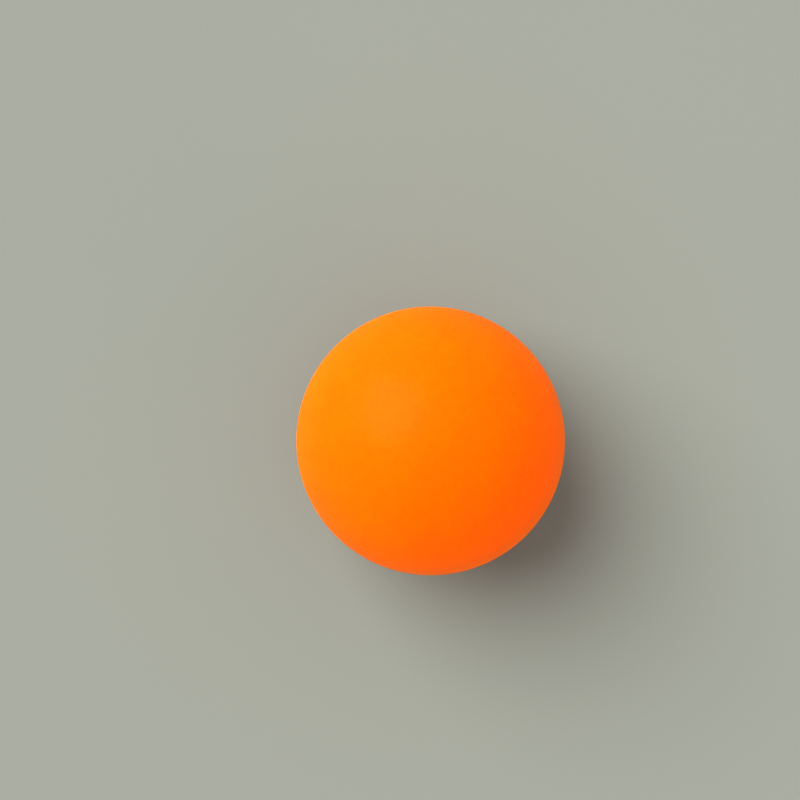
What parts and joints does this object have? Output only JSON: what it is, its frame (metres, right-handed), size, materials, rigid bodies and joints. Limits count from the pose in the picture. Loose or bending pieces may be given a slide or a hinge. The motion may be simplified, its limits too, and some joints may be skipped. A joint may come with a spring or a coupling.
{
  "type": "table tennis ball",
  "caption": "Hollow orange plastic ball for table tennis, made of half shells with a lap joint cemented at the equator.",
  "frame": {"origin": "the ball's centre, which lies in the seam plane and is the middle of the bounding box", "axes": "+Z is the polar axis, at right angles to the seam plane, towards the half shell with the outer lip; X and Y lie in the seam plane, and the ball is the same all round them"},
  "size_m": [0.04, 0.04, 0.04],
  "materials": {
    "orange_shell": "tumbled matte, slightly translucent, thin-walled ABS-type thermoplastic",
    "seam_cement": "shell plastic dissolved in solvent and set hard, sanded flush outside, glossy bead inside"
  },
  "bodies": {
    "root": {"upper_half_shell": "orange_shell", "lower_half_shell": "orange_shell", "seam_cement": "seam_cement"}
  },
  "joints": []
}
